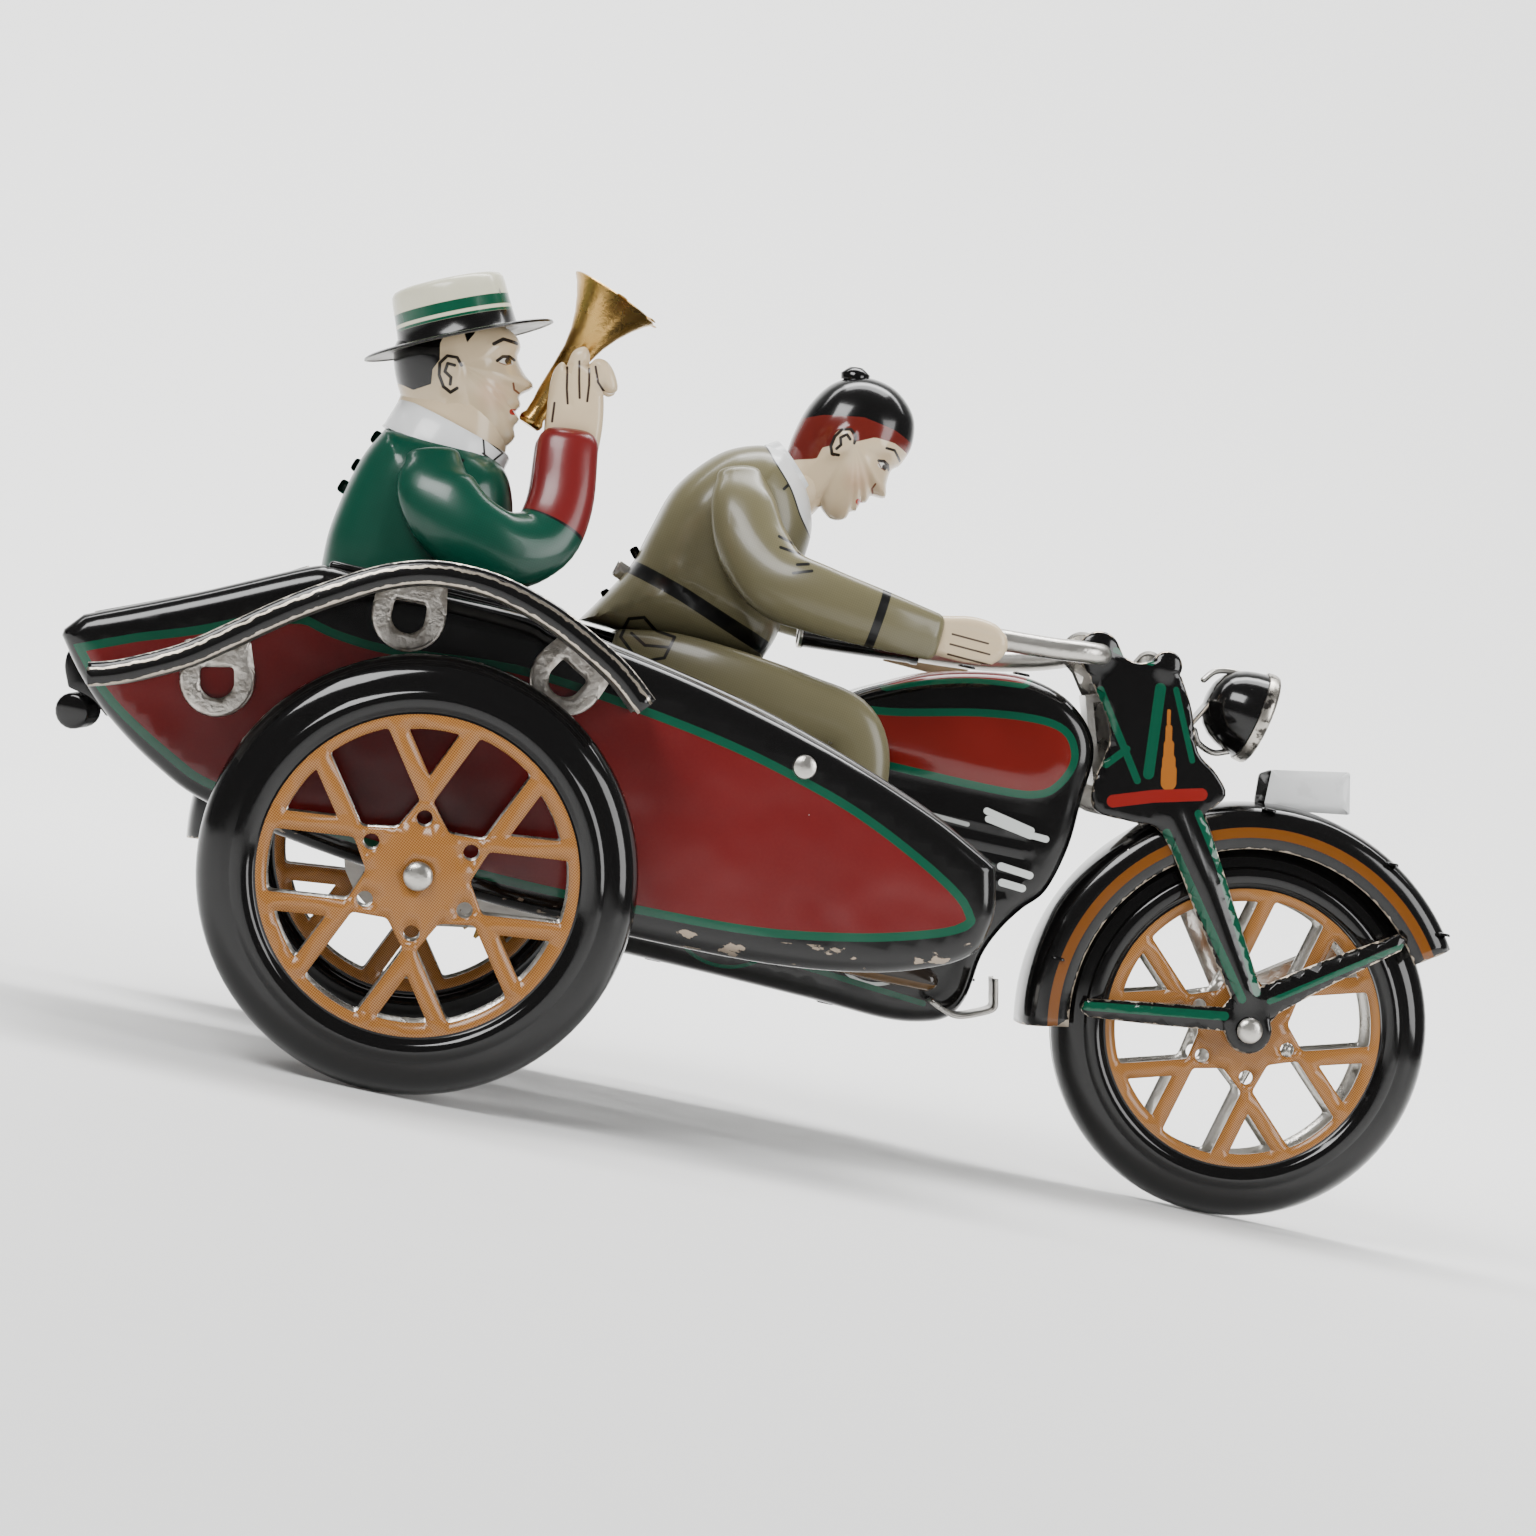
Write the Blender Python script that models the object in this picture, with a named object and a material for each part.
"""Tin wind-up motorcycle with a sidecar, a driver and a trumpet player.

Design axes, in millimetres: x runs forward from the rear axle, y runs to the toy's left from the
motorcycle's middle plane, and z runs up from the ground. The sidecar is on the right, at -y.
The root empty moves all of it so that the origin lies under the middle of the bounding box.
"""
import math

import bmesh
import bpy
from mathutils import Matrix, Vector
from mathutils.geometry import tessellate_polygon

MM = 0.001

# Driving dimensions (mm)
WHEEL_R = 26.0              # tyre outer radius, all three wheels
RIM_R = 18.7                # where the tyre bead meets the rim
WHEELBASE = 114.1
SIDECAR_TRACK = 66.0        # motorcycle plane to sidecar wheel plane
WHEEL_FACE = 3.5            # wheel plane to the outer face of a rim
TYRE_HALF = 4.2             # half the tyre's width
TIN = 0.6                   # wall of the stampings
GAP = 0.3                   # air between neighbours that touch
AXLE_R = 1.0
BODY_HALF = 8.2             # half the motorcycle body's width
PLATE_Y = 6.6               # inner face of the clockwork plates
HULL_NEAR = -56.0           # outer face of the sidecar's right side
HULL_FAR = -18.8            # outer face of the sidecar's left side
SEAT_Y = -37.4              # middle plane of the passenger
FENDER_R = 30.6             # crown radius of both mudguards
FORK_Y = 6.8                # inner face of the fork plates
BAR_Y = 10.0                # handlebar grip to the middle plane
MODULE = 0.6                # gear module
BOX_MIN = (-47.8, -71.2)    # lowest x and y of the whole toy
BOX_MAX = (140.1, 22.0)     # highest x and y of the whole toy

REAR_AXLE = Vector((0.0, 0.0, WHEEL_R))
FRONT_AXLE = Vector((WHEELBASE, 0.0, WHEEL_R))
SIDE_AXLE = Vector((0.0, -SIDECAR_TRACK, WHEEL_R))
STEER_TOP = Vector((87.6, 0.0, 69.0))
STEER_RAKE = math.radians(18.0)

# Gear train: teeth, and each shaft found from the one before it
AXLE_TEETH = 16
IDLER_TEETH = 30
PINION_TEETH = 8
SECOND_TEETH = 48
GREAT_TEETH = 48
PLANE_ONE = (4.7, 5.3)      # y span of the gears beside the wheel
PLANE_TWO = (5.6, 6.2)      # y span of the gears beside the plate
PILLARS = ((60.0, 23.0), (22.4, 52.8))


def centre_distance(teeth_a, teeth_b):
    return (teeth_a + teeth_b) * MODULE / 2


def beyond(start, distance, degrees):
    angle = math.radians(degrees)
    return start + Vector((distance * math.cos(angle), 0.0, distance * math.sin(angle)))


IDLER_ANGLE = -6.7
SECOND_ANGLE = 42.0
GREAT_ANGLE = 0.0
IDLER = beyond(REAR_AXLE, centre_distance(AXLE_TEETH, IDLER_TEETH), IDLER_ANGLE)
SECOND = beyond(IDLER, centre_distance(PINION_TEETH, SECOND_TEETH), SECOND_ANGLE)
ARBOR = beyond(SECOND, centre_distance(PINION_TEETH, GREAT_TEETH), GREAT_ANGLE)

COLOURS = {
    "black_lacquer": ((0.012, 0.012, 0.014), 0.18, 0.0),
    "red_lacquer": ((0.23, 0.012, 0.014), 0.2, 0.0),
    "orange_lacquer": ((0.48, 0.2, 0.05), 0.3, 0.0),
    "bare_tin": ((0.55, 0.54, 0.52), 0.32, 1.0),
    "brass": ((0.62, 0.42, 0.14), 0.28, 1.0),
    "olive_lacquer": ((0.2, 0.18, 0.1), 0.25, 0.0),
    "green_lacquer": ((0.0, 0.12, 0.06), 0.22, 0.0),
    "flesh_lacquer": ((0.72, 0.55, 0.35), 0.28, 0.0),
    "cream_lacquer": ((0.72, 0.7, 0.52), 0.25, 0.0),
    "white_lacquer": ((0.62, 0.68, 0.68), 0.25, 0.0),
    "spring_steel": ((0.22, 0.23, 0.27), 0.35, 1.0),
}


# Scene, materials and objects

def clear_scene():
    for item in list(bpy.data.objects):
        bpy.data.objects.remove(item, do_unlink=True)


def finish_material(name):
    material = bpy.data.materials.get(name)
    if material is None:
        colour, roughness, metallic = COLOURS[name]
        material = bpy.data.materials.new(name)
        material.use_nodes = True
        shader = material.node_tree.nodes["Principled BSDF"]
        shader.inputs["Base Color"].default_value = (*colour, 1.0)
        shader.inputs["Roughness"].default_value = roughness
        shader.inputs["Metallic"].default_value = metallic
    return material


def pivot(name, at, parent=None, turn=0.0):
    """An empty at a design point, turned about y, that pieces hang from."""
    empty = bpy.data.objects.new(name, None)
    bpy.context.collection.objects.link(empty)
    empty.parent = parent
    world = Matrix.Translation(Vector(at) * MM) @ Matrix.Rotation(turn, 4, "Y")
    empty["design"] = [value for row in world for value in row]
    empty.matrix_local = design_matrix(parent).inverted() @ world
    return empty


def design_matrix(empty):
    if empty is None or "design" not in empty:
        return Matrix.Identity(4)
    flat = list(empty["design"])
    return Matrix([flat[0:4], flat[4:8], flat[8:12], flat[12:16]])


def piece(name, shape, finish, parent, turn=None):
    """Turn (vertices, faces) in design millimetres into a named object under an empty."""
    vertices, faces = shape
    to_local = design_matrix(parent).inverted()
    mesh = bpy.data.meshes.new(name)
    place = turn or Matrix.Identity(4)
    points = [to_local @ ((place @ Vector(point)) * MM) for point in vertices]
    mesh.from_pydata(points, [], faces)
    work = bmesh.new()
    work.from_mesh(mesh)
    bmesh.ops.recalc_face_normals(work, faces=work.faces)
    work.to_mesh(mesh)
    work.free()
    mesh.shade_smooth()
    mesh.set_sharp_from_angle(angle=math.radians(35))
    mesh.materials.append(finish_material(finish))
    thing = bpy.data.objects.new(name, mesh)
    bpy.context.collection.objects.link(thing)
    thing.parent = parent
    return thing


def combine(thing, shape, operation):
    """Cut a closed shape, given in design millimetres, out of an object, or join it on."""
    label = f"{thing.name}_helper_{len(thing.modifiers)}"
    helper = piece(label, shape, "bare_tin", thing.parent)
    helper.hide_render = True
    helper.display_type = "WIRE"
    boolean = thing.modifiers.new(label, "BOOLEAN")
    boolean.object = helper
    boolean.operation = operation
    boolean.solver = "EXACT"


# Outlines in the side view: lists of (x, z)

def arc(centre, radius, start, end, count):
    """Points on a circle between two angles in degrees, ends included."""
    points = []
    for step in range(count + 1):
        angle = math.radians(start + (end - start) * step / count)
        points.append((centre[0] + radius * math.cos(angle), centre[1] + radius * math.sin(angle)))
    return points


def circle(centre, radius, count=10):
    return arc(centre, radius, 0.0, 360.0 - 360.0 / count, count - 1)


def signed_area(points):
    total = 0.0
    for index, (x1, z1) in enumerate(points):
        x2, z2 = points[(index + 1) % len(points)]
        total += x1 * z2 - x2 * z1
    return total / 2


def unit_normal(a, b):
    dx, dz = b[0] - a[0], b[1] - a[1]
    length = math.hypot(dx, dz)
    return -dz / length, dx / length


def shift_outline(points, distance):
    """Move a closed outline inward by a distance, corner by corner."""
    sign = 1.0 if signed_area(points) > 0 else -1.0
    moved = []
    for index, point in enumerate(points):
        n1 = unit_normal(points[index - 1], point)
        n2 = unit_normal(point, points[(index + 1) % len(points)])
        mx, mz = n1[0] + n2[0], n1[1] + n2[1]
        scale = sign * distance * 2 / max(mx * mx + mz * mz, 1.2)
        moved.append((point[0] + mx * scale, point[1] + mz * scale))
    return moved


def thicken(line, width):
    """Closed outline of a band that follows an open line, width to its left side."""
    far = []
    for index, point in enumerate(line):
        n1 = unit_normal(line[max(index - 1, 0)], line[max(index, 1)])
        last = len(line) - 1
        n2 = unit_normal(line[min(index, last - 1)], line[min(index + 1, last)])
        mx, mz = n1[0] + n2[0], n1[1] + n2[1]
        scale = width * 2 / max(mx * mx + mz * mz, 1.0)
        far.append((point[0] + mx * scale, point[1] + mz * scale))
    return list(line) + far[::-1]


# Solids: every function returns (vertices, faces) of closed bodies

def plate(outline, y0, y1, holes=()):
    """A flat sheet in the xz plane between two y values, with holes cut through."""
    loops = [list(outline)] + [list(hole) for hole in holes]
    flat = [point for loop in loops for point in loop]
    triangles = tessellate_polygon([[Vector((x, z, 0.0)) for x, z in loop] for loop in loops])
    count = len(flat)
    vertices = [(x, y0, z) for x, z in flat] + [(x, y1, z) for x, z in flat]
    faces = [tuple(face) for face in triangles]
    faces += [tuple(index + count for index in reversed(face)) for face in triangles]
    start = 0
    for loop in loops:
        size = len(loop)
        for step in range(size):
            a, b = start + step, start + (step + 1) % size
            faces.append((a, b, b + count, a + count))
        start += size
    return vertices, faces


def pan(outline, side, depth, edge, seam=0.15, wall=TIN):
    """A pressed half shell: flat face at |y| = depth, rounded edge, rim at the seam."""
    soft = edge * 0.3
    outer = [(outline, seam), (outline, depth - edge),
             (shift_outline(outline, soft), depth - soft), (shift_outline(outline, edge), depth)]
    inner_line = shift_outline(outline, wall)
    inner = [(shift_outline(outline, edge + wall * 0.3), depth - wall),
             (shift_outline(inner_line, soft), depth - soft - wall * 0.7),
             (inner_line, depth - edge), (inner_line, seam)]
    rings = outer + inner
    size = len(outline)
    vertices = [(x, side * y, z) for ring, y in rings for x, z in ring]
    faces = []
    for level in range(len(rings)):
        following = (level + 1) % len(rings)
        if level == 3:
            continue
        for step in range(size):
            after = (step + 1) % size
            faces.append((level * size + step, level * size + after,
                          following * size + after, following * size + step))
    for level in (3, 4):
        loop = [Vector((x, z, 0.0)) for x, z in rings[level][0]]
        for face in tessellate_polygon([loop]):
            faces.append(tuple(level * size + index for index in face))
    return vertices, faces


def turned(profile, centre, count=24, axis=Vector((0, 1, 0))):
    """Revolve (radius, distance) points about an axis through centre."""
    spin = Vector((0, 0, 1)).rotation_difference(Vector(axis).normalized()).to_matrix()
    vertices = []
    rings = []
    for radius, along in profile:
        if radius < 1e-6:
            rings.append([len(vertices)])
            vertices.append(Vector(centre) + spin @ Vector((0, 0, along)))
            continue
        ring = []
        for step in range(count):
            angle = 2 * math.pi * step / count
            ring.append(len(vertices))
            offset = Vector((radius * math.cos(angle), radius * math.sin(angle), along))
            vertices.append(Vector(centre) + spin @ offset)
        rings.append(ring)
    faces = []
    for lower, upper in zip(rings, rings[1:]):
        for step in range(count):
            after = (step + 1) % count
            if len(lower) == 1:
                faces.append((lower[0], upper[step], upper[after]))
            elif len(upper) == 1:
                faces.append((lower[step], upper[0], lower[after]))
            else:
                faces.append((lower[step], lower[after], upper[after], upper[step]))
    for ring in (rings[0], rings[-1]):
        if len(ring) > 1:
            faces.append(tuple(ring))
    return [tuple(point) for point in vertices], faces


def rod(centre, radius, y0, y1, count=12):
    """A plain round bar along y."""
    profile = [(radius, y0 - centre[1]), (radius, y1 - centre[1])]
    return turned(profile, centre, count)


def sweep(path, sizes, count=10, up=Vector((0, 1, 0))):
    """A limb: ellipses (half width across, half width along up) bridged along a path."""
    points = [Vector(point) for point in path]
    vertices = []
    for index, point in enumerate(points):
        ahead = points[min(index + 1, len(points) - 1)] - points[max(index - 1, 0)]
        ahead.normalize()
        rise = (up - ahead * up.dot(ahead)).normalized()
        across = ahead.cross(rise)
        wide, tall = sizes[index] if len(sizes) > 1 else sizes[0]
        for step in range(count):
            angle = 2 * math.pi * (step + 0.5) / count
            offset = across * wide * math.cos(angle) + rise * tall * math.sin(angle)
            vertices.append(tuple(point + offset))
    faces = [tuple(range(count)), tuple(range(len(vertices) - count, len(vertices)))]
    for ring in range(len(points) - 1):
        for step in range(count):
            after = (step + 1) % count
            a, b = ring * count, (ring + 1) * count
            faces.append((a + step, a + after, b + after, b + step))
    return vertices, faces


def box(low, high):
    (x0, y0, z0), (x1, y1, z1) = low, high
    return plate([(x0, z0), (x1, z0), (x1, z1), (x0, z1)], y0, y1)


def ball(centre, half, turn=0.0, count=14, rings=8):
    """An egg with three half sizes, turned about y."""
    vertices, faces = turned([(math.sin(math.pi * i / rings), -math.cos(math.pi * i / rings))
                              for i in range(rings + 1)], (0, 0, 0), count)
    spin = Matrix.Rotation(turn, 3, "Y")
    moved = []
    for x, y, z in vertices:
        scaled = Vector((x * half[0], y * half[1], z * half[2]))
        moved.append(tuple(Vector(centre) + spin @ scaled))
    return moved, faces


# Wheels

def spoke_slot(angle):
    """One of the six parallel-sided slots of a rim, with its pointed inner end."""
    across = 0.1425 * WHEEL_R
    outer = 0.677 * WHEEL_R
    flat = math.sqrt(outer ** 2 - across ** 2)
    shape = [(0.235 * WHEEL_R, 0.0), (0.305 * WHEEL_R, -across), (flat, -across),
             (outer, 0.0), (flat, across), (0.305 * WHEEL_R, across)]
    cosine, sine = math.cos(angle), math.sin(angle)
    return [(x * cosine - z * sine, x * sine + z * cosine) for x, z in shape]


def wheel_half(centre, side, bore, lobe):
    """One pressed half of a wheel: slotted disc, bead and half a tyre, in one sheet."""
    count = 24
    face = WHEEL_FACE
    outer = [(RIM_R, face), (20.8, TYRE_HALF), (24.6, 3.2), (WHEEL_R, 0.15)]
    inner = [(WHEEL_R - TIN * 1.3, 0.15), (24.0, 2.7), (20.8, TYRE_HALF - TIN), (RIM_R, face - TIN)]
    rings = outer + inner
    vertices = []
    for radius, y in rings:
        for step in range(count):
            angle = 2 * math.pi * step / count
            vertices.append((centre[0] + radius * math.cos(angle), centre[1] + side * y,
                             centre[2] + radius * math.sin(angle)))
    faces = []
    for level in range(len(rings) - 1):
        for step in range(count):
            after = (step + 1) % count
            a, b = level * count, (level + 1) * count
            faces.append((a + step, a + after, b + after, b + step))
    holes = [spoke_slot(math.radians(lobe + 30 + 60 * step)) for step in range(6)]
    holes.append(circle((0, 0), bore, 8))
    rim = [(RIM_R * math.cos(2 * math.pi * step / count), RIM_R * math.sin(2 * math.pi * step / count))
           for step in range(count)]
    loops = [rim] + holes
    triangles = tessellate_polygon([[Vector((x, z, 0.0)) for x, z in loop] for loop in loops])
    base = {0: 0, 1: (len(rings) - 1) * count}
    extra = [point for loop in holes for point in loop]
    starts = {}
    for level, y in ((0, face), (1, face - TIN)):
        starts[level] = len(vertices)
        for x, z in extra:
            vertices.append((centre[0] + x, centre[1] + side * y, centre[2] + z))
        for triangle in triangles:
            faces.append(tuple(base[level] + index if index < count
                               else starts[level] + index - count for index in triangle))
    first = 0
    for hole in holes:
        for step in range(len(hole)):
            a, b = first + step, first + (step + 1) % len(hole)
            faces.append((starts[0] + a, starts[0] + b, starts[1] + b, starts[1] + a))
        first += len(hole)
    return vertices, faces


def make_wheels(front, rear, sidecar):
    bore = AXLE_R + GAP
    for name, centre, body, lobe in (("front_wheel", FRONT_AXLE, front, 105.7),
                                     ("rear_wheel", REAR_AXLE, rear, 95.7),
                                     ("sidecar_wheel", SIDE_AXLE, sidecar, 95.7)):
        for half, side in (("right", -1), ("left", 1)):
            shape = wheel_half(centre, side, bore, lobe)
            piece(f"{name}_{half}_half", shape, "orange_lacquer", body)


def riveted_axle(centre, y0, y1, head=0.5, head_r=1.7):
    """A round axle with a closed-over rivet head at each end."""
    base = centre[1]
    profile = [(head_r * 0.6, y0 - base), (head_r, y0 - base + head), (AXLE_R, y0 - base + head),
               (AXLE_R, y1 - base - head), (head_r, y1 - base - head), (head_r * 0.6, y1 - base)]
    return turned(profile, centre, 14)


def make_axles(root, rear, fork):
    reach = BODY_HALF + 0.9
    piece("rear_axle", riveted_axle(REAR_AXLE, -reach, reach), "bare_tin", rear)
    piece("front_axle", riveted_axle(FRONT_AXLE, -8.5, 8.5), "bare_tin", fork)
    outer = -SIDECAR_TRACK - WHEEL_FACE - 1.4
    piece("sidecar_axle", riveted_axle(SIDE_AXLE, outer, HULL_NEAR - GAP), "bare_tin", root)


# Clockwork

def gear_outline(teeth, phase, centre):
    """Teeth with room to turn: tips 0.75 of a module out, roots 1.1 in."""
    pitch = 2 * math.pi / teeth
    radius = teeth * MODULE / 2
    points = []
    for tooth in range(teeth):
        middle = phase + tooth * pitch
        for reach, spread in ((-1.1, -0.29), (0.75, -0.12), (0.75, 0.12), (-1.1, 0.29)):
            distance = radius + reach * MODULE
            angle = middle + spread * pitch
            points.append((centre[0] + distance * math.cos(angle),
                           centre[2] + distance * math.sin(angle)))
    return points


def meshed_phase(phase, teeth, other_teeth, degrees):
    """Tooth angle of a gear that meshes with one at a given phase, along a line of centres."""
    line = math.radians(degrees)
    turns = 0.5 - (phase - line) * teeth / (2 * math.pi)
    return line + math.pi + turns * 2 * math.pi / other_teeth


def gear(name, teeth, phase, centre, span, bore, finish, body):
    hole = circle((centre[0], centre[2]), bore, 10)
    shape = plate(gear_outline(teeth, phase, centre), span[0], span[1], [hole])
    piece(name, shape, finish, body)


def pinion_shaft(name, centre, span, radius, ends, body):
    """A small gear cut from one piece with its shaft."""
    outline = gear_outline(PINION_TEETH, 0.0, centre)
    hole = circle((centre[0], centre[2]), radius, 10)
    vertices, faces = plate(outline, span[0], span[1], [hole])
    count = len(outline)
    size = count + len(hole)
    # the hole's wall becomes the shaft: drop it and run the rims out to the ends
    wall = {(count + i, count + (i + 1) % 10) for i in range(10)}
    faces = [face for face in faces if tuple(face[:2]) not in wall]
    for level, end in ((0, ends[0]), (1, ends[1])):
        start = level * size + count
        first = len(vertices)
        vertices += [(x, end, z) for x, z in hole]
        for step in range(10):
            after = (step + 1) % 10
            faces.append((start + step, start + after, first + after, first + step))
        faces.append(tuple(first + step for step in range(10)))
    piece(name, (vertices, faces), "bare_tin", body)


def spring_coil(turns, inner, outer):
    """A flat spiral strip wound round the arbor."""
    steps = turns * 12
    strip = 0.35
    outside, inside = [], []
    for step in range(steps + 1):
        angle = 2 * math.pi * turns * step / steps
        radius = inner + (outer - inner) * step / steps
        outside.append((ARBOR[0] + (radius + strip) * math.cos(angle),
                        ARBOR[2] + (radius + strip) * math.sin(angle)))
        inside.append((ARBOR[0] + radius * math.cos(angle), ARBOR[2] + radius * math.sin(angle)))
    return plate(outside + inside[::-1], -5.6, 3.6)


def make_clockwork(root, rear, idler, second, arbor):
    shaft = 0.9
    idler_phase = meshed_phase(0.0, AXLE_TEETH, IDLER_TEETH, IDLER_ANGLE)
    second_phase = meshed_phase(0.0, PINION_TEETH, SECOND_TEETH, SECOND_ANGLE)
    great_phase = meshed_phase(0.0, PINION_TEETH, GREAT_TEETH, GREAT_ANGLE)
    clear = AXLE_R + GAP
    gear("axle_gear", AXLE_TEETH, 0.0, REAR_AXLE, PLANE_ONE, clear, "brass", rear)
    gear("idler_wheel", IDLER_TEETH, idler_phase, IDLER, PLANE_ONE, shaft + GAP, "brass", idler)
    gear("second_wheel", SECOND_TEETH, second_phase, SECOND, PLANE_TWO, shaft + GAP, "brass", second)
    gear("great_wheel", GREAT_TEETH, great_phase, ARBOR, PLANE_ONE, 1.5 + GAP, "brass", arbor)
    end = PLATE_Y + 0.6
    pinion_shaft("idler_pinion", IDLER, PLANE_TWO, shaft, (4.4, end), idler)
    pinion_shaft("second_pinion", SECOND, PLANE_ONE, shaft, (-end, end), second)
    piece("winding_arbor", rod(ARBOR, 1.5, -end, 20.6), "bare_tin", arbor)
    piece("mainspring", spring_coil(4, 2.4, 10.4), "spring_steel", root)
    make_key(arbor)
    holes = [circle((point[0], point[2]), size + GAP, 12)
             for point, size in ((REAR_AXLE, AXLE_R), (IDLER, shaft), (SECOND, shaft), (ARBOR, 1.5))]
    outline = arc((0, WHEEL_R), 9.8, 70, 275, 12)
    outline += [(20, 19.4), (62, 19.4), (62, 50), (28, 55.4), (19.6, 55.4), (12, 38)]
    for name, side in (("right", -1), ("left", 1)):
        y0, y1 = sorted((side * PLATE_Y, side * (PLATE_Y + 0.5)))
        used = [holes[0]] + holes[2:] if side < 0 else holes
        pillars = [circle(spot, 1.0, 10) for spot in PILLARS]
        piece(f"clockwork_plate_{name}", plate(outline, y0, y1, used + pillars), "bare_tin", root)
    for name, (x, z) in zip(("front", "rear"), PILLARS):
        profile = [(0.7, -7.3), (0.7, -6.3), (1.5, -6.3), (1.5, 6.3), (0.7, 6.3), (0.7, 7.3)]
        piece(f"plate_pillar_{name}", turned(profile, (x, 0, z), 10), "bare_tin", root)


def make_key(arbor):
    """Butterfly key on the arbor's left end: a socket and a flat handle with two eyes."""
    y0, y1 = BODY_HALF + 2.4, BOX_MAX[1]
    x, z = ARBOR[0], ARBOR[2]
    handle = arc((x, z + 6.2), 4.6, -40, 220, 12) + arc((x, z - 6.2), 4.6, 140, 400, 12)
    eyes = [circle((x, z + 6.4), 2.0, 12), circle((x, z - 6.4), 2.0, 12)]
    handle_shape = plate(handle, y1 - 1.1, y1, eyes)
    clear = 1.5 + GAP
    profile = [(0.0, y1 - 0.6), (3.0, y1 - 0.6), (3.0, y0), (clear, y0), (clear, y1 - 1.0), (0.0, y1 - 1.0)]
    key = piece("winding_key", turned(profile, (x, 0, z), 16), "bare_tin", arbor)
    combine(key, handle_shape, "UNION")


# Motorcycle body

def body_outline():
    """Side view of tank, engine and frame, ahead of the rear tyre."""
    back = arc((0, WHEEL_R), WHEEL_R + 1.0, -16, 62, 12)
    top = [(16, 57.0), (50, 57.6), (54.5, 60.6), (61, 63.6), (67.5, 65.3), (74.2, 66.0), (80, 64.6)]
    head = [(84, 61.6), (85.6, 57.6), (85.2, 52), (85.0, 45), (83.2, 38.6), (80.6, 35.8)]
    front = [(78.4, 32.6), (76.6, 28.4), (75.8, 22.2), (74, 19.2), (71, 17.8), (65.5, 17.2)]
    return back + top + head + front + [(55.5, 17.6), (40, 18.2)]


def make_body(root):
    outline = body_outline()
    opening = rod(REAR_AXLE, WHEEL_R + 2.4, -7.35, 7.35, 36)
    arbor_hole = rod(ARBOR, 3.4, 7.0, 9.0, 14)
    for name, side in (("right", -1), ("left", 1)):
        shell = piece(f"body_{name}", pan(outline, side, BODY_HALF, 1.6), "black_lacquer", root)
        combine(shell, opening, "DIFFERENCE")
        if side > 0:
            combine(shell, arbor_hole, "DIFFERENCE")
    piece("rear_mudguard", mudguard(REAR_AXLE, 66, 189, 7.0), "black_lacquer", root)
    seat = [(12, 58.2), (38, 58.4), (38, 60.0), (26, 59.4), (14, 60.2)]
    piece("saddle", plate(seat, -6.5, 6.5), "black_lacquer", root)
    step = [(70, 20.6), (74, 19.4), (79.6, 21.6), (78.6, 26), (77.6, 26), (78, 22.4), (74, 20.6),
            (70.4, 21.8)]
    piece("footrest", plate(step, -13.5, -8.6), "bare_tin", root)


def mudguard(centre, start, end, half):
    """A channel arched over a wheel: crown and two side walls in one sheet."""
    steps = 16
    lip, shoulder, inside = 24.4, FENDER_R - 1.5, FENDER_R - 1.9
    rings = [(lip, half), (shoulder, half), (FENDER_R, half - 2.4), (FENDER_R, 2.4 - half),
             (shoulder, -half), (lip, -half), (lip, TIN - half), (inside, TIN - half),
             (FENDER_R - TIN, 2.7 - half), (FENDER_R - TIN, half - 2.7), (inside, half - TIN),
             (lip, half - TIN)]
    size = len(rings)
    vertices = []
    for step in range(steps + 1):
        angle = math.radians(start + (end - start) * step / steps)
        for radius, y in rings:
            vertices.append((centre[0] + radius * math.cos(angle), centre[1] + y,
                             centre[2] + radius * math.sin(angle)))
    faces = []
    for step in range(steps):
        for index in range(size):
            after = (index + 1) % size
            a, b = step * size, (step + 1) * size
            faces.append((a + index, a + after, b + after, b + index))
    loop = [Vector((radius, y, 0.0)) for radius, y in rings]
    for triangle in tessellate_polygon([loop]):
        faces.append(tuple(triangle))
        faces.append(tuple(steps * size + index for index in reversed(triangle)))
    return vertices, faces


# Fork, handlebar and lamp

def fork_outline():
    knuckle = arc((83.2, 71.2), 3.0, 235, 40, 9)
    top = [(88.6, 71.0)] + arc((92.6, 71.4), 2.2, 130, -10, 5)
    front = [(97.2, 67.8), (99.2, 61.2), (102.4, 58.6), (104.4, 56.2), (101.4, 52.8), (105.6, 47)]
    front_stay = [(115.0, 31.4), (131.2, 42.8), (132.2, 40.6), (117.8, 29.2)]
    hub = arc((WHEELBASE, WHEEL_R), 3.2, 20, -150, 7)
    rear_stay = [(109.6, 25.6), (92.2, 23.4), (91.8, 25.6), (109.8, 28.2)]
    back = [(111.4, 30.0), (96.6, 49.8), (92.4, 50.0), (86.8, 50.6), (86.4, 54), (87.2, 61)]
    return knuckle + top + front + front_stay + hub + rear_stay + back


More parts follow.
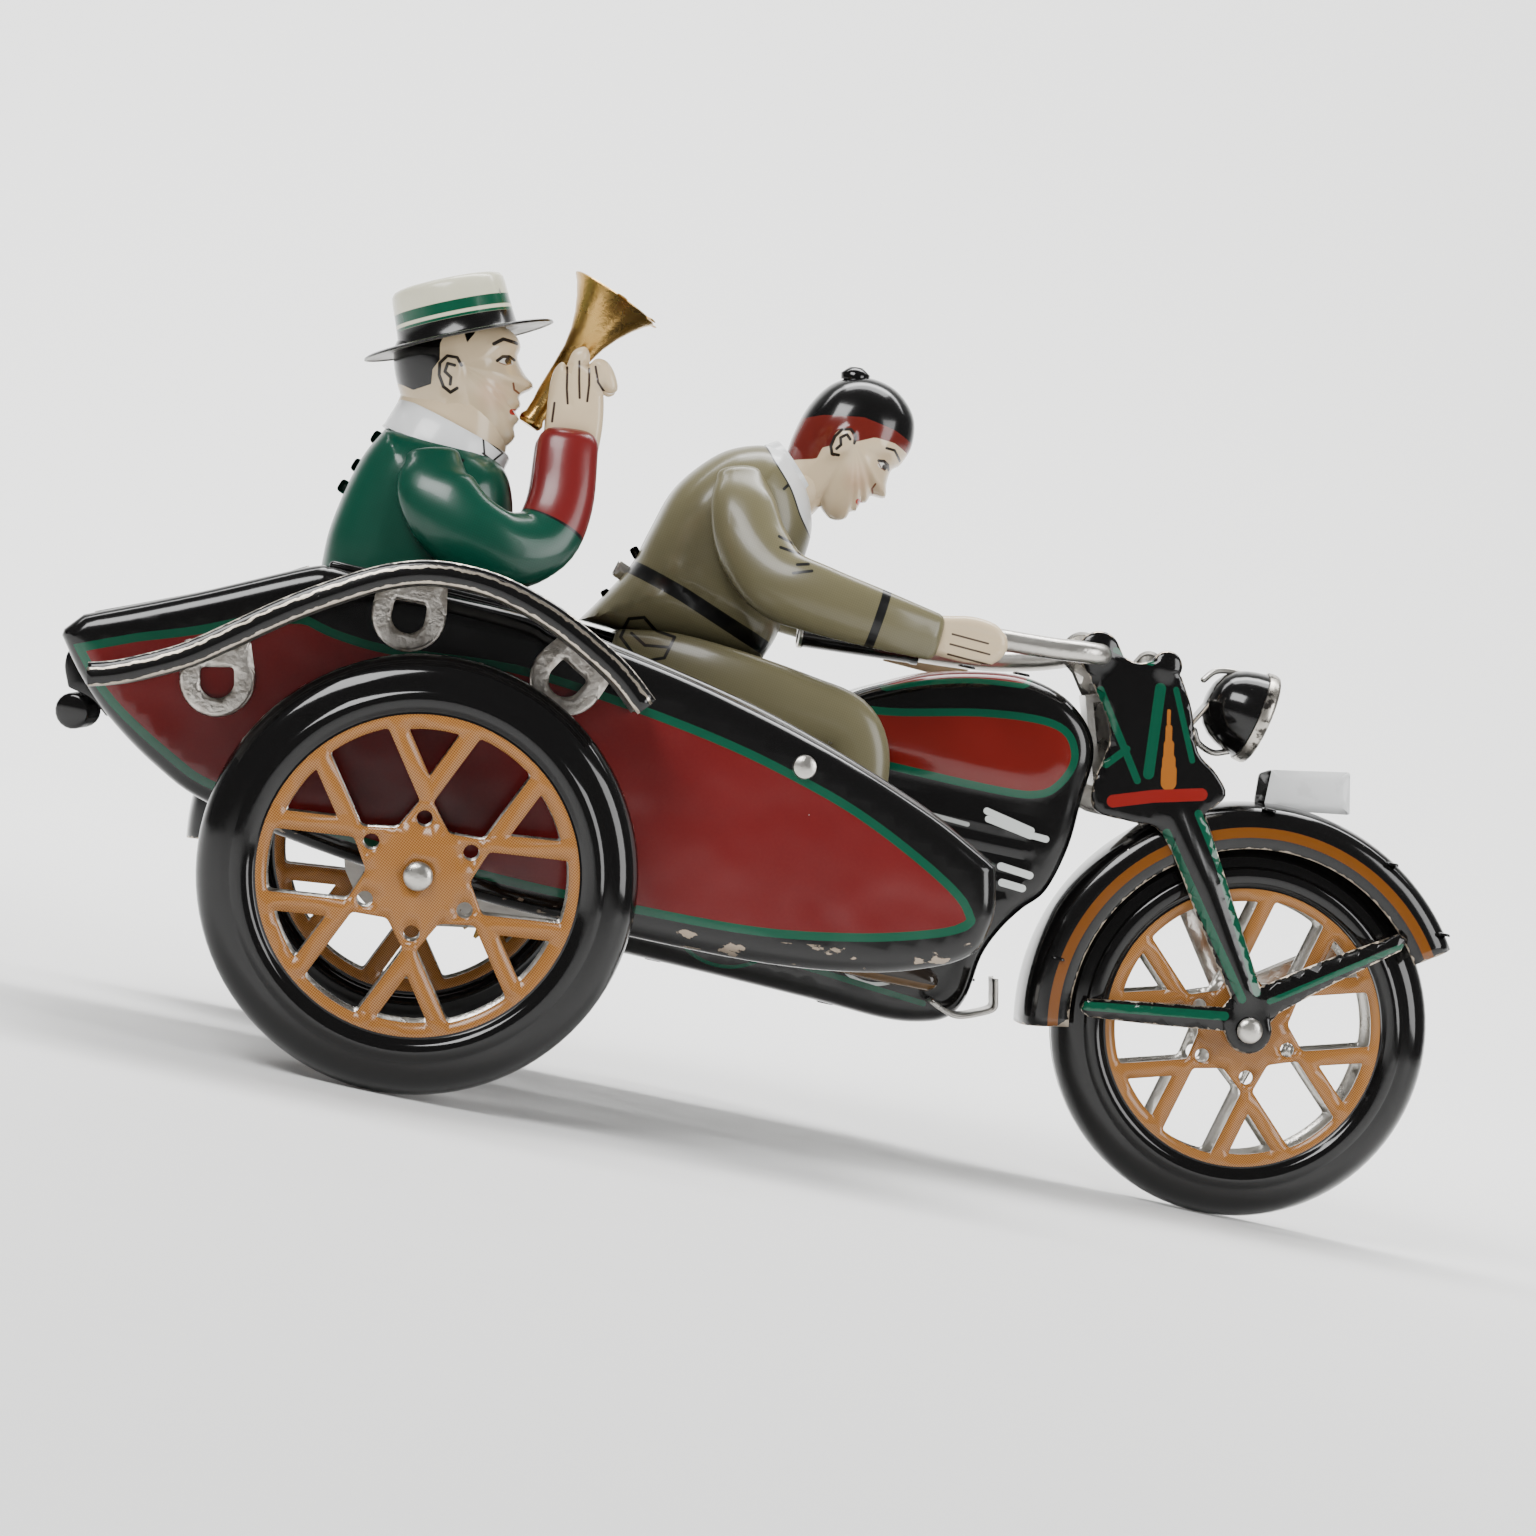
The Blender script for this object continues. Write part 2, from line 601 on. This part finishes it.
def make_fork(root, fork):
    bar_hole = circle((83.6, 71.0), 1.55 + GAP, 10)
    axle_hole = circle((WHEELBASE, WHEEL_R), AXLE_R + GAP, 10)
    for name, side in (("right", -1), ("left", 1)):
        y0, y1 = sorted((side * FORK_Y, side * (FORK_Y + TIN)))
        shape = plate(fork_outline(), y0, y1, [bar_hole, axle_hole])
        piece(f"fork_{name}", shape, "black_lacquer", fork)
    piece("front_mudguard", mudguard(FRONT_AXLE, 33, 191, FORK_Y - GAP), "black_lacquer", fork)
    make_steering(root, fork)
    make_handlebar(fork)
    make_headlamp(fork)
    shape = plate([(109.8, 57.2), (122.8, 57.4), (121.6, 62.8), (109.4, 61.2)], -0.6, 0.6)
    piece("number_plate", shape, "white_lacquer", fork)


def steer_point(distance, across=0.0):
    """A point on the steering axis, a distance down from its top."""
    x = STEER_TOP[0] + distance * math.sin(STEER_RAKE) + across * math.cos(STEER_RAKE)
    z = STEER_TOP[2] - distance * math.cos(STEER_RAKE) + across * math.sin(STEER_RAKE)
    return x, z


def tilted(outline):
    """Points given as (across, depth) along the steering axis, as (x, z)."""
    return [steer_point(depth, across) for across, depth in outline]


def pin_hole(near, far):
    axis = Vector((math.sin(STEER_RAKE), 0.0, -math.cos(STEER_RAKE)))
    return turned([(1.25, near), (1.25, far)], STEER_TOP, 12, axis=axis)


def make_steering(root, fork):
    """The frame's neck and the fork's yoke: two bent straps round one pin."""
    neck = [(-5.2, 2.2), (2.6, 2.2), (2.6, 3.2), (-4.2, 3.2), (-4.2, 13.4), (2.6, 13.4), (2.6, 14.4),
            (-5.2, 14.4)]
    bracket = piece("head_bracket", plate(tilted(neck), -2.6, 2.6), "bare_tin", root)
    combine(bracket, pin_hole(1.0, 16.0), "DIFFERENCE")
    yoke = [(-3.0, 0.8), (4.8, 0.8), (4.8, 15.8), (-3.0, 15.8), (-3.0, 14.8), (3.8, 14.8), (3.8, 1.8),
            (-3.0, 1.8)]
    holder = piece("fork_yoke", plate(tilted(yoke), GAP - FORK_Y, FORK_Y - GAP), "black_lacquer", fork)
    axis = Vector((math.sin(STEER_RAKE), 0.0, -math.cos(STEER_RAKE)))
    pin = [(1.0, -0.2), (1.8, 0.2), (1.8, 1.0), (0.9, 1.0), (0.9, 15.6), (1.7, 15.6), (1.2, 16.4)]
    combine(holder, turned(pin, STEER_TOP, 12, axis=axis), "UNION")


def make_handlebar(fork):
    """One wire bent round the fork's knuckles, thicker where the grips sit."""
    right = [(44.6, 68.6), (60.4, 69.4), (61.4, 69.5), (70.5, 70.0), (78.5, 70.6)]
    left = [(79.0, 69.2), (71.0, 67.4), (61.4, 66.6), (60.4, 66.5), (44.6, 65.4)]
    route = [(x, -BAR_Y, z) for x, z in right]
    route += [(82.6, -8.9, 71.0), (83.6, -7.6, 71.0), (83.6, 7.6, 71.0), (82.6, 8.9, 70.8)]
    route += [(x, BAR_Y, z) for x, z in left]
    grip, wire = (1.7, 1.7), (1.5, 1.5)
    sizes = [grip, grip] + [wire] * (len(route) - 4) + [grip, grip]
    piece("handlebar", sweep(route, sizes, 8, Vector((0, 0, 1))), "bare_tin", fork)


def make_headlamp(fork):
    aim = Vector((math.cos(math.radians(11)), 0.0, -math.sin(math.radians(11))))
    back = Vector((99.9, 0.0, 68.9))
    bowl = [(0.0, -4.6), (0.8, -4.6), (0.8, 0.1), (2.4, 0.4), (4.3, 1.7), (5.5, 4.0), (6.0, 7.0),
            (5.4, 7.0), (4.9, 4.3), (3.8, 2.3), (2.2, 1.1), (0.0, 0.7)]
    piece("headlamp_shell", turned(bowl, back, 16, axis=aim), "black_lacquer", fork)
    front = [(0.0, 7.5), (5.2, 7.3), (6.3, 7.3), (6.4, 8.3), (5.6, 8.5), (5.0, 8.0), (0.0, 8.2)]
    piece("headlamp_front", turned(front, back, 16, axis=aim), "bare_tin", fork)


# Sidecar

def hull_outline():
    bottom = [(-40, 36.1), (-26, 28.4), (-10, 25.4), (10, 23.8), (28, 23.4), (44, 23.7), (56, 25.2),
              (64, 27.6)]
    nose = [(69.0, 31.2), (69.6, 36.0), (68.6, 41.4)]
    top = [(60, 45.6), (47.6, 50.2), (36, 53.6), (23.4, 56.2), (9.6, 58.2), (8.0, 59.0)]
    rear = [(-3.6, 59.2), (-17.8, 59.4), (-20.4, 58.8), (-33, 52.8), (-45.6, 47.4), (-47.4, 44.4)]
    return bottom + nose + top + rear


def make_sidecar(root):
    outline = hull_outline()
    for name, face, side in (("right", HULL_NEAR, -1), ("left", HULL_FAR, 1)):
        shape = pan(outline, side, 6.0, 2.0, seam=0.0)
        offset = face - side * 6.0
        moved = [(x, y + offset, z) for x, y, z in shape[0]]
        piece(f"sidecar_side_{name}", (moved, shape[1]), "red_lacquer", root)
    y0, y1 = HULL_NEAR + 6.0 + GAP, HULL_FAR - 6.0 - GAP
    front = [(67.4, 40.6), (60, 45.0), (47.6, 49.6), (36, 53.0), (23.4, 55.6), (10.0, 57.6)]
    rear = [(-19.4, 58.6), (-20.6, 58.2), (-33, 52.2), (-45.0, 47.0)]
    floor = [(-39.6, 36.8), (-25.8, 29.1), (-10, 26.0), (10, 24.4), (28, 24.0), (44, 24.3), (55.8, 25.8),
             (63.6, 28.2)]
    nose = [(68.4, 31.6), (69.0, 36.0), (68.2, 39.8)]
    tail = [(-45.4, 45.8), (-46.8, 44.2)]
    for name, line, width in (("front_deck", front, TIN), ("rear_deck", rear, TIN),
                              ("sidecar_floor", tail + floor + nose, -TIN)):
        piece(name, plate(thicken(line, width), y0, y1), "black_lacquer", root)
    seat = thicken([(13.0, 46.6), (-11.0, 46.6), (-19.0, 57.4)], 1.0)
    piece("sidecar_seat", plate(seat, y0, y1), "black_lacquer", root)
    make_sidecar_fender(root)
    near = HULL_FAR + GAP
    far = -BODY_HALF - GAP
    piece("sidecar_strut", box((32.0, near, 33.0), (56.0, far, 34.5)), "bare_tin", root)
    lamp = [(-47.8, 43.0), (-46.9, 42.2), (-43.2, 38.2), (-41.0, 35.2), (-42.4, 33.2), (-45.6, 32.8),
            (-47.8, 35.2)]
    piece("tail_bracket", plate(lamp, -42.0, -32.0), "black_lacquer", root)


def fender_line():
    """Underside of the sidecar's mudguard, from its tail to its front tip."""
    rear = [(-42.0, 41.2), (-37.6, 42.4), (-32.4, 44.8), (-25.6, 49.2), (-16.8, 55.4)]
    return rear + [(-10.8, 59.0), (-4.0, 60.8), (2.4, 60.2), (8.4, 57.8), (14.2, 54.4), (22.0, 49.6)]


def make_sidecar_fender(root):
    """An arched strip whose three ears are bent down against the sidecar's side."""
    inner = HULL_NEAR - GAP
    strip = thicken(fender_line()[::-1], -1.6)
    guard = piece("sidecar_mudguard", plate(strip, BOX_MIN[1], inner), "black_lacquer", root)
    wide, tall = 4.0, 4.6
    ear = [(-wide, tall), (-wide, -0.4)] + arc((0, -0.6), wide, 180, 360, 8)
    ear += [(wide, -0.4), (wide, tall)]
    hole = [(-2.0, -0.8), (-1.4, -2.4), (1.4, -2.4), (2.0, -0.8), (1.9, 1.2), (-1.9, 1.2)]
    for x, z, tilt in ((-28.6, 43.6, 12), (-7.2, 55.4, 4), (12.4, 51.0, -30)):
        outline, slot = [turn_points(loop, math.radians(tilt), x, z) for loop in (ear, hole)]
        combine(guard, plate(outline, inner - TIN, inner + 0.05, [slot]), "UNION")


def turn_points(points, angle, x, z):
    cosine, sine = math.cos(angle), math.sin(angle)
    return [(x + px * cosine - pz * sine, z + px * sine + pz * cosine) for px, pz in points]


# Figures

def make_driver(root):
    back = [(15.4, 61.4), (18.2, 66.0), (20.6, 71.0), (21.6, 76.0), (24.2, 82.0), (28.4, 86.2)]
    front = [(33.8, 88.4), (37.0, 88.2), (40.4, 83.6), (41.8, 79.0), (41.6, 75.0), (39.8, 69.0)]
    outline = back + front + [(40.4, 64.0), (39.0, 60.9), (28.0, 60.7)]
    for name, side in (("right", -1), ("left", 1)):
        piece(f"driver_torso_{name}", pan(outline, side, 9.6, 3.0), "olive_lacquer", root)
        thigh = [(22, side * 10.6, 57.4), (34, side * 10.8, 56.2), (48, side * 10.8, 55.0),
                 (55.6, side * 10.8, 53.4), (58.0, side * 10.8, 48.0), (58.6, side * 10.8, 38.0),
                 (60.4, side * 10.6, 27.0)]
        sizes = [(5.0, 1.6), (4.9, 2.0), (4.4, 2.0), (4.2, 2.0), (4.0, 2.0), (3.2, 1.8), (2.6, 1.6)]
        leg = piece(f"driver_leg_{name}", sweep(thigh, sizes), "olive_lacquer", root)
        boot = [(57.0, 28.0), (57.2, 22.6), (69.6, 22.4), (70.6, 24.2), (64.8, 28.0)]
        y0, y1 = sorted((side * 8.8, side * 12.8))
        combine(leg, plate(boot, y0, y1), "UNION")
        arm = [(30.6, side * 12.2, 81.2), (33.6, side * 13.2, 76.0), (37.4, side * 15.4, 71.0),
               (44.0, side * 17.4, 69.6), (52.0, side * 17.2, 68.8), (60.0, side * 15.6, 68.2)]
        sizes = [(3.4, 1.7), (4.6, 2.4), (5.0, 2.4), (4.6, 2.0), (4.1, 1.9), (3.6, 1.4)]
        sleeve = piece(f"driver_arm_{name}", sweep(arm, sizes), "olive_lacquer", root)
        combine(sleeve, along_x(hand_section(side), 59.0, 67.0), "UNION")
    piece("driver_head", ball((45.2, 0, 92.2), (7.4, 6.6, 8.6), math.radians(14)),
          "flesh_lacquer", root)


def hand_section(side):
    """A hand from the front, as (y, z): the right one cups its grip from below, the left from above."""
    if side < 0:
        return [(-15.4, 70.8), (-14.2, 70.8), (-14.2, 67.4), (-8.6, 67.4), (-8.6, 66.4), (-15.4, 66.4)]
    return [(14.2, 65.4), (15.4, 65.4), (15.4, 69.8), (5.4, 69.8), (5.4, 65.8), (6.2, 65.8), (6.2, 68.8),
            (14.2, 68.8)]


def along_x(section, x0, x1):
    """A closed (y, z) section carried along x."""
    vertices, faces = plate(section, x0, x1)
    return [(depth, y, z) for y, depth, z in vertices], faces


def make_passenger(root):
    y = SEAT_Y
    back = [(-18.6, 59.0), (-18.8, 66.0), (-17.4, 73.0), (-15.8, 77.0)]
    front = [(-10.0, 77.2), (-4.0, 77.0), (0.2, 75.6), (1.6, 72.0), (2.4, 66.0), (3.0, 58.0), (2.0, 54.0)]
    outline = back + front + [(-14.0, 54.0)]
    for name, side in (("right", -1), ("left", 1)):
        shape = pan(outline, side, 9.4, 3.0)
        moved = [(px, py + y, pz) for px, py, pz in shape[0]]
        piece(f"passenger_torso_{name}", (moved, shape[1]), "green_lacquer", root)
        arm = [(-8.6, y + side * 11.6, 73.0), (-4.0, y + side * 12.0, 68.0), (1.6, y + side * 11.6, 65.6),
               (6.4, y + side * 9.6, 68.0), (8.0, y + side * 7.4, 74.0), (7.4, y + side * 5.4, 80.0),
               (6.2, y + side * 4.4, 84.0), (5.6, y + side * 3.6, 88.0), (5.4, y + side * 3.2, 91.6)]
        sizes = [(4.4, 1.8), (4.8, 2.2), (4.6, 2.4), (4.2, 2.4), (3.6, 2.2), (3.0, 1.6), (3.2, 1.0),
                 (3.2, 0.8), (2.4, 0.6)]
        piece(f"passenger_arm_{name}", sweep(arm, sizes), "green_lacquer", root)
    piece("passenger_legs", box((3.6, y - 8.6, 47.0), (22.0, y + 8.6, 53.6)), "red_lacquer", root)
    piece("passenger_head", ball((-7.0, y, 85.6), (7.2, 7.0, 8.0), math.radians(-10)),
          "flesh_lacquer", root)
    axis = Vector((-0.41, 0.0, 0.91)).normalized()
    hat = [(0.0, 7.6), (6.4, 7.6), (7.2, 6.8), (7.5, 0.9), (12.0, 0.5), (12.0, 0.0), (6.9, 0.0),
           (6.5, 6.2), (0.0, 6.6)]
    piece("boater_hat", turned(hat, (-8.8, y, 90.4), 20, axis=axis), "cream_lacquer", root)
    mouth = Vector((2.6, y, 84.2))
    direction = Vector((6.4, 0.0, 16.0)).normalized()
    horn = [(0.9, 0.0), (1.2, 0.8), (1.1, 6.0), (1.7, 9.0), (2.8, 12.0), (4.2, 14.8), (5.9, 17.0),
            (5.3, 17.2), (3.4, 14.6), (2.0, 12.0), (0.0, 9.6)]
    piece("horn", turned(horn, mouth, 16, axis=direction), "brass", root)


def main():
    clear_scene()
    middle = [-(BOX_MIN[i] + BOX_MAX[i]) / 2 * MM for i in (0, 1)]
    root = pivot("toy", (0, 0, 0))
    fork = pivot("steering_axis", STEER_TOP, root, -STEER_RAKE)
    front = pivot("front_wheel_axis", FRONT_AXLE, fork)
    rear = pivot("rear_wheel_axis", REAR_AXLE, root)
    sidecar = pivot("sidecar_wheel_axis", SIDE_AXLE, root)
    idler = pivot("idler_axis", IDLER, root)
    second = pivot("second_axis", SECOND, root)
    arbor = pivot("arbor_axis", ARBOR, root)
    make_wheels(front, rear, sidecar)
    make_axles(root, rear, fork)
    make_clockwork(root, rear, idler, second, arbor)
    make_body(root)
    make_fork(root, fork)
    make_sidecar(root)
    make_driver(root)
    make_passenger(root)
    root.location = (middle[0], middle[1], 0.0)
    bpy.context.view_layer.update()


main()
